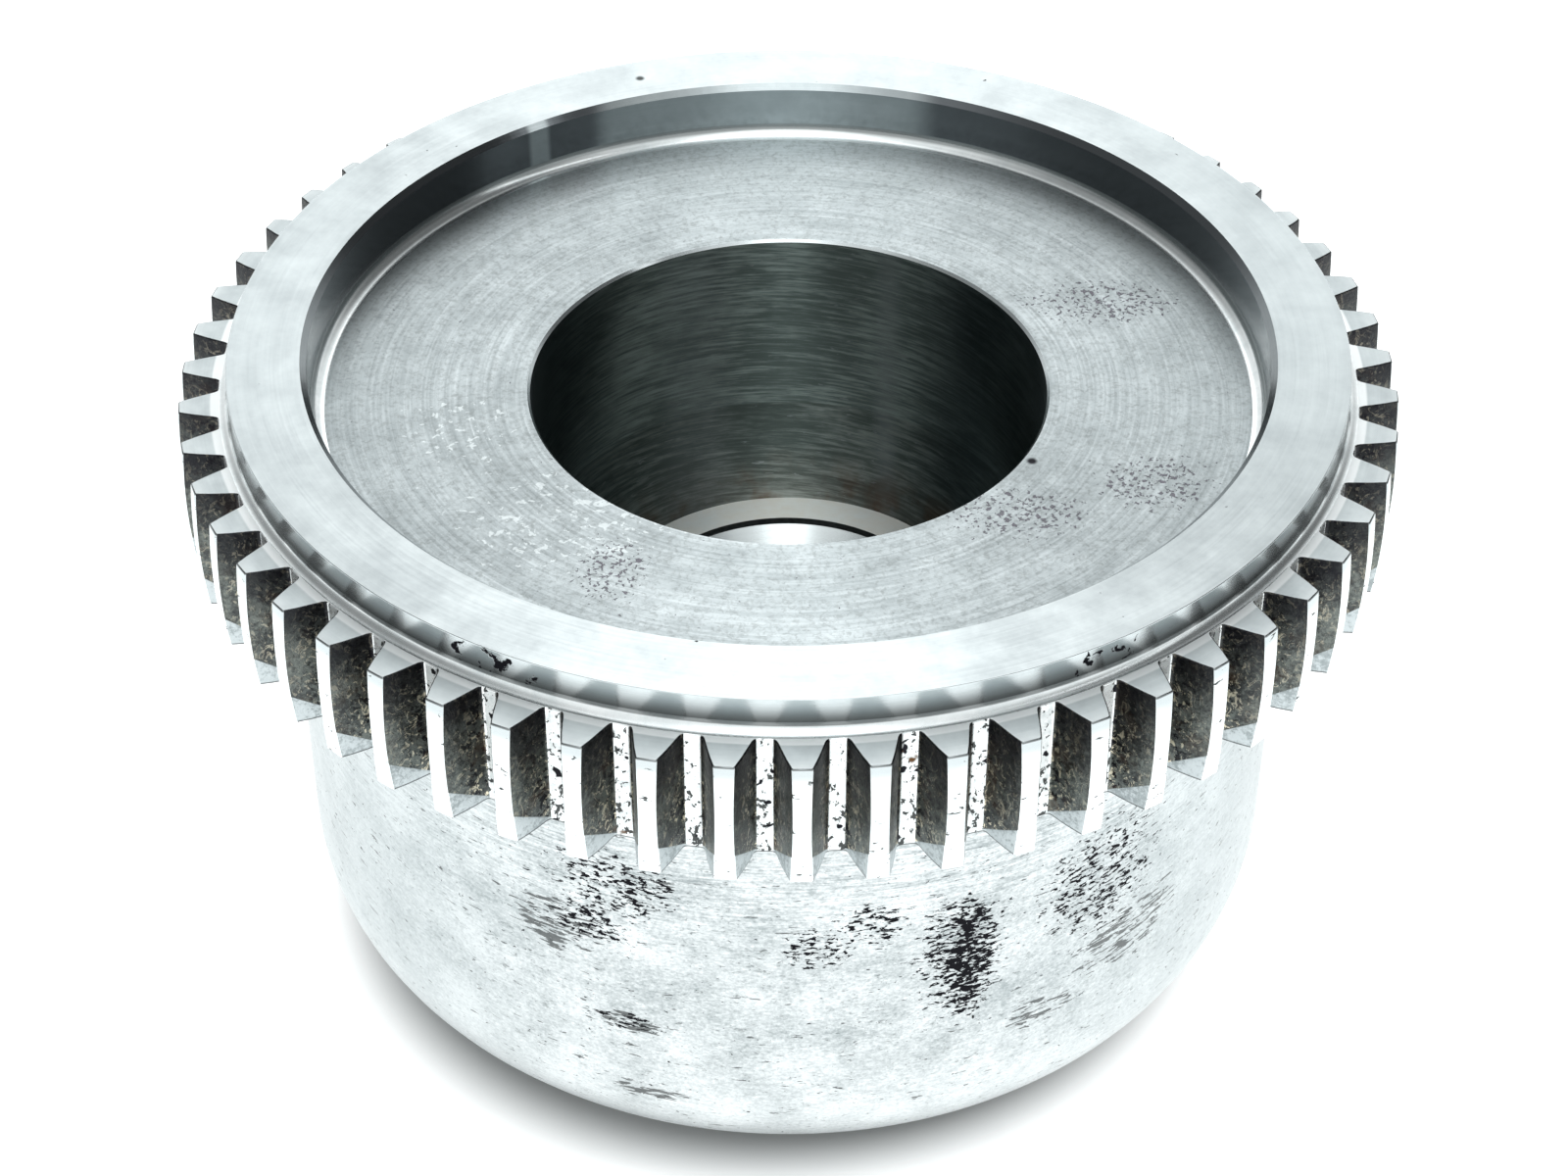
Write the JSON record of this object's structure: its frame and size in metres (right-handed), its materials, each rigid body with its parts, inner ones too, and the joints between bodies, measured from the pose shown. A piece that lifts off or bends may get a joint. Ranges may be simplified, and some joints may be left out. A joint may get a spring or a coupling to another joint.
{
  "type": "gear coupling hub",
  "caption": "Hub of a gear coupling: a turned steel body with a rim of crowned external teeth, a recessed nose, a stepped bore and a rounded outer end.",
  "frame": {"origin": "centre of the flat outer end, which the hub stands on", "axes": "+Z along the hub's axis, from the outer end to the nose face; +X and +Y each pass through the middle of a tooth"},
  "size_m": [0.1842, 0.1842, 0.1058],
  "materials": {
    "machined_steel": "satin turned steel, pitted and lightly rusted"
  },
  "bodies": {
    "root": {"crowned_gear_hub": "machined_steel"}
  },
  "joints": []
}
